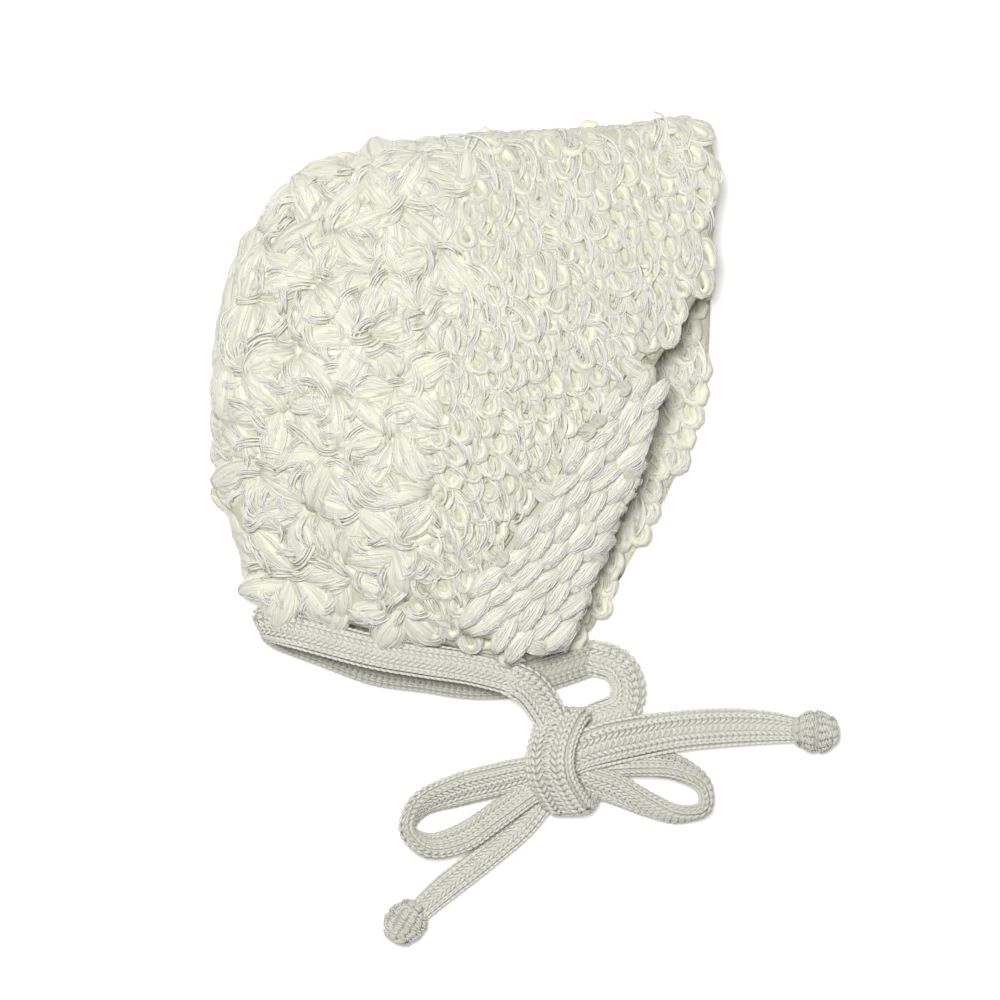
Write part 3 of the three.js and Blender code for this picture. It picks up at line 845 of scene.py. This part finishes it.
def section(share):
    """A point on the cord's flattened outline, in millimetres, for a share of the way round."""
    angle = 2 * math.pi * share
    c, s = math.cos(angle), math.sin(angle)
    half = np.array((CORD_WIDTH, CORD_THICKNESS)) / 2
    return half * (math.copysign(abs(c) ** SQUARENESS, c), math.copysign(abs(s) ** SQUARENESS, s))


def even_shares(count, offset=0.0):
    """Shares of the outline's angle that are an even distance apart round it."""
    fine = np.array([section(k / OUTLINE_STEPS) for k in range(OUTLINE_STEPS + 1)])
    run = np.r_[0, np.cumsum(np.linalg.norm(np.diff(fine, axis=0), axis=1))]
    shares = np.arange(OUTLINE_STEPS + 1) / OUTLINE_STEPS
    return np.interp((np.arange(count) + offset) / count * run[-1], run, shares)


def knitted_row():
    """One round of knitting: a V of two short strands for each stitch round the cord."""
    bundle = []
    for middle in even_shares(COLUMNS):
        for hand in (-1, 1):
            points = []
            for share, t, lift in zip(
                middle + hand * LEG_TURNS * LEG_SPREAD * LEG_SLACK, np.linspace(0, 1, 4), LEG_LIFTS
            ):
                edge = section(share)
                out = edge / np.array((CORD_WIDTH, CORD_THICKNESS)) ** 2
                out = out / np.linalg.norm(out)
                points.append((edge[0] + out[0] * lift, -1.25 + 2.5 * t, edge[1] + out[1] * lift))
            bundle.append((points, LEG_RADII, THIN_SIDES, 0.0, False))
    return bundle


def smooth_route(rows, step):
    """Evenly spaced points on a smooth curve through a table of x, y, z and any further columns."""
    rows = np.array(rows, float)
    gaps = np.sqrt(np.linalg.norm(np.diff(rows[:, :3], axis=0), axis=1))
    knots = np.r_[0, np.cumsum(gaps)]
    tangents = np.gradient(rows, knots, axis=0)
    fine = []
    for i in range(len(rows) - 1):
        span = knots[i + 1] - knots[i]
        for t in np.linspace(0, 1, 24, endpoint=False):
            h = (2 * t**3 - 3 * t**2 + 1, t**3 - 2 * t**2 + t, -2 * t**3 + 3 * t**2, t**3 - t**2)
            leaving = h[0] * rows[i] + h[1] * span * tangents[i]
            fine.append(leaving + h[2] * rows[i + 1] + h[3] * span * tangents[i + 1])
    fine = np.array(fine + [rows[-1]])
    run = np.r_[0, np.cumsum(np.linalg.norm(np.diff(fine[:, :3], axis=0), axis=1))]
    count = max(int(round(run[-1] / step)), 2)
    even = np.linspace(0, run[-1], count + 1)
    return np.stack([np.interp(even, run, fine[:, c]) for c in range(fine.shape[1])], 1)


def cord_frames(route, facings=None):
    """Along, across and outward directions at each point, from each point's roll, or from given facings."""
    along = np.gradient(route[:, :3], axis=0)
    along /= np.linalg.norm(along, axis=1)[:, None]
    if facings is None:
        side = np.c_[-along[:, 1], along[:, 0], np.zeros(len(along))]
        side /= np.linalg.norm(side, axis=1)[:, None]
        up = np.cross(along, side)
        roll = np.radians(route[:, 3])[:, None]
        outward = np.cos(roll) * up - np.sin(roll) * side
    else:
        outward = facings - along * np.sum(facings * along, 1)[:, None]
        outward /= np.linalg.norm(outward, axis=1)[:, None]
    across = np.cross(along, outward)
    return along, across, outward


def knitted_cord(name, route, facings, rows_box, finish, seed, closed=False):
    """A flat knitted cord along a route of x, y, z, roll, width share and thickness share."""
    along, across, outward = cord_frames(route, facings)
    outline = np.array([section(share) for share in even_shares(CORE_SIDES, 0.5)]) * CORE_SHARES
    count, sides = len(route), len(outline)
    ring = (
        route[:, None, :3]
        + across[:, None] * (outline[None, :, :1] * route[:, 4][:, None, None])
        + outward[:, None] * (outline[None, :, 1:] * route[:, 5][:, None, None])
    )
    faces, unwrapped = [], []
    for i in range(count if closed else count - 1):
        for j in range(sides):
            here, ahead, k = i * sides, (i + 1) % count * sides, (j + 1) % sides
            faces.append((here + j, here + k, ahead + k, ahead + j))
            low, high = i * ROW_PITCH * MM, (i + 1) * ROW_PITCH * MM
            left, right = j * CORE_PITCH * MM, (j + 1) * CORE_PITCH * MM
            unwrapped.extend([(left, low), (right, low), (right, high), (left, high)])
    if not closed:
        faces.append(tuple(range(sides - 1, -1, -1)))
        faces.append(tuple(range((count - 1) * sides, count * sides)))
        unwrapped.extend([(0.5, 0.0)] * (2 * sides))
    core = bpy.data.meshes.new(name + "_core")
    core.from_pydata([tuple(p) for p in ring.reshape(-1, 3) * MM], [], faces)
    core.uv_layers.new(name="UVMap").data.foreach_set("uv", np.array(unwrapped, np.float32).ravel())
    spots = [
        (route[i, :3] * MM, outward[i], along[i], (route[i, 4], 1, route[i, 5])) for i in range(count)
    ]
    chart = chart_of(name + "_chart", spots, core)
    return worked(name, chart, rows_box, finish, spread=0.0, turn=0.0, seed=seed)


silk_cord = yarn_finish(
    "silk_cord",
    light=(0.80, 0.80, 0.715),
    dark=(0.52, 0.52, 0.44),
    bright=(0.93, 0.93, 0.88),
    roughness=0.32,
    streaks=2600,
    softness=0.1,
)
rounds = pattern_box("rounds", [spun("round_0", knitted_row())])
BAND_ROUTE = [
    (14, -79.6, 13.5),
    (2, -76.6, 15),
    (-12, -74.4, 16),
    (-26, -72, 16.5),
    (-40, -68.4, 16),
    (-52, -65.2, 14.5),
    (-59, -64, 9),
    (-53, -67, 3.4),
    (-40, -72, 2),
    (-26, -77, 1.9),
    (-12, -79, 1.9),
    (2, -81, 1.9),
    (16, -80.4, 1.9),
    (29, -77, 1.9),
    (38.5, -73.5, 1.9),
]
band_route = smooth_route([(*row, 0, 0.9, 1) for row in BAND_ROUTE], ROW_PITCH)
band_along = np.gradient(band_route[:, :3], axis=0)
band_facings = np.c_[band_along[:, 2], -0.55 * np.abs(band_along[:, 2]), -band_along[:, 0]]
neck_cord = knitted_cord("neck_cord", band_route, band_facings, rounds, silk_cord, seed=20)
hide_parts("neck_band")

# ---- The two ties ----
# Each is the free end of the knitted cord. It goes into the bow's knot, out in a loop and back, and on as a
# tail to a small knot at its tip. Where it turns it stands on its edge, as a flat cord does.
FINER = 4
KNOT_STEPS = 90
KNOT_TURNS = 3.3
KNOT_CORD = (0.45, 0.85)
NUDGE = 1e-4
NEAR_TIE = [
    (13.5, -79.8, 13.5, 0, 0.92, 1),
    (18.5, -82.3, 12.8, 8, 0.95, 1),
    (22.5, -87, 11.6, 8, 0.95, 1),
    (26, -94, 10.2, 5, 0.85, 1),
    (27, -100.5, 8.6, 5, 0.6, 1.2),
    (22, -105.5, 6.9, -25, 0.7, 1.2),
    (12, -109, 5.6, -32, 0.95, 1),
    (-2, -112.6, 5.4, -35, 0.95, 1),
    (-13.5, -117.3, 5.2, -62, 0.95, 1),
    (-17, -124.5, 5.2, -85, 0.95, 1),
    (-11, -129, 5.2, -65, 0.95, 1),
    (-1, -126.8, 5.2, -50, 0.95, 1),
    (9.5, -120, 5.2, -50, 0.9, 1),
    (20, -112.5, 5.6, -40, 0.75, 1.1),
    (27, -107, 8.2, -10, 0.75, 1.2),
    (33, -102, 10.6, 12, 1.0, 1.1),
    (40, -99.3, 10.2, 12, 1.16, 1),
    (50, -97.2, 8, 8, 1.14, 1),
    (62, -95.4, 5, 0, 1.06, 1),
    (78, -94.3, 2.9, 0, 1.0, 1),
    (90, -94.4, 2.6, 0, 0.85, 1),
    (99, -95.2, 3.6, 0, 0.62, 1.2),
]
FAR_TIE = [
    (37.6, -73.8, 2.2, 0, 0.95, 1),
    (44.4, -76, 2.4, 12, 0.95, 1),
    (47.9, -81.8, 2.6, 25, 0.95, 1),
    (46.6, -88.4, 2.6, 15, 0.95, 1),
    (38, -92, 3.2, 5, 0.85, 1),
    (30.5, -95.5, 5, 0, 0.7, 1.2),
    (29, -102, 6, 10, 0.6, 1.2),
    (34, -108.5, 6.2, 25, 0.8, 1.1),
    (44, -112.3, 5.6, 40, 0.95, 1),
    (54, -117, 5.2, 60, 0.95, 1),
    (63, -119.8, 5.2, 75, 0.95, 1),
    (70.3, -117.7, 5.2, 88, 0.95, 1),
    (70, -111.3, 5.2, 80, 0.95, 1),
    (62, -106, 5.2, 62, 0.95, 1),
    (52, -104.4, 4.8, 45, 0.9, 1),
    (40, -104.6, 4.4, 25, 0.8, 1),
    (31, -106.5, 4, 0, 0.65, 1.1),
    (25, -112, 3.4, 0, 0.75, 1),
    (17, -122.5, 2.4, 0, 0.75, 1),
    (5, -133, 2.4, 0, 0.72, 1),
    (-6, -141.6, 2.4, 0, 0.72, 1),
    (-14, -148.6, 3.4, 0, 0.6, 1.2),
]
BOW_WRAP = [
    (29.5, -91, 6.2),
    (27, -95, 12),
    (25, -101.5, 15),
    (25.2, -107.5, 15),
    (27.6, -113, 12),
    (31, -117.4, 6.6),
    (32.5, -114.5, 2.6),
    (32.5, -104, 1.9),
    (30, -95, 2.6),
]


def ring_route(rows, step, width, thickness):
    """A closed route through a table of places, with the directions that face away from its middle."""
    places = [(*row, 0, width, thickness) for row in rows[-2:] + rows + rows[:3]]
    doubled = smooth_route(places, step / FINER)
    from_start = np.linalg.norm(doubled[:, :3] - rows[0], axis=1)
    half = len(doubled) // 2
    around = doubled[np.argmin(from_start[:half]) : half + np.argmin(from_start[half:]) : FINER]
    return around, around[:, :3] - around[:, :3].mean(0)


def wrapped_ball(centre, half, turn, step):
    """A route that winds round a small lump, for the knot at a tie's tip."""
    s = np.linspace(0, 1, KNOT_STEPS)
    angle = 2 * np.pi * KNOT_TURNS * s + 0.6
    lean = (s - 0.5) * 2.3
    reach = 0.7 * np.cos(lean)
    x, y = half[0] * 0.74 * np.sin(lean), half[1] * reach * np.cos(angle)
    z = half[2] * reach * np.sin(angle)
    c, q = math.cos(math.radians(turn)), math.sin(math.radians(turn))
    placed = np.c_[c * x - q * y, q * x + c * y, z] + centre
    run = np.r_[0, np.cumsum(np.linalg.norm(np.diff(placed, axis=0), axis=1))]
    even = np.arange(0, run[-1], step)
    places = np.stack([np.interp(even, run, placed[:, k]) for k in range(3)], 1)
    shape = np.tile((0, *KNOT_CORD), (len(even), 1))
    return np.c_[places, shape], places - np.array(centre) + NUDGE


wrap_route, wrap_facings = ring_route(BOW_WRAP, ROW_PITCH, 1.35, 1.25)
bow_wrap = knitted_cord("bow_wrap", wrap_route, wrap_facings, rounds, silk_cord, seed=21, closed=True)
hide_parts("bow_knot")

right_route, right_facings = wrapped_ball((103, -95.5, 5), (7.4, 6.2, 5.2), -8, ROW_PITCH)
right_knot = knitted_cord("right_end_knot_wrap", right_route, right_facings, rounds, silk_cord, seed=22)
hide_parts("right_end_knot")
left_route, left_facings = wrapped_ball((-17.5, -151.5, 4.9), (7.2, 6, 5), 48, ROW_PITCH)
left_knot = knitted_cord("left_end_knot_wrap", left_route, left_facings, rounds, silk_cord, seed=23)
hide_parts("left_end_knot")

near_route = smooth_route(NEAR_TIE, ROW_PITCH)
near_cord = knitted_cord("near_tie_cord", near_route, None, rounds, silk_cord, seed=24)
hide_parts("near_tie", "left_loop", "right_tail")
far_route = smooth_route(FAR_TIE, ROW_PITCH)
far_cord = knitted_cord("far_tie_cord", far_route, None, rounds, silk_cord, seed=25)
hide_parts("far_tie", "right_loop", "left_tail")
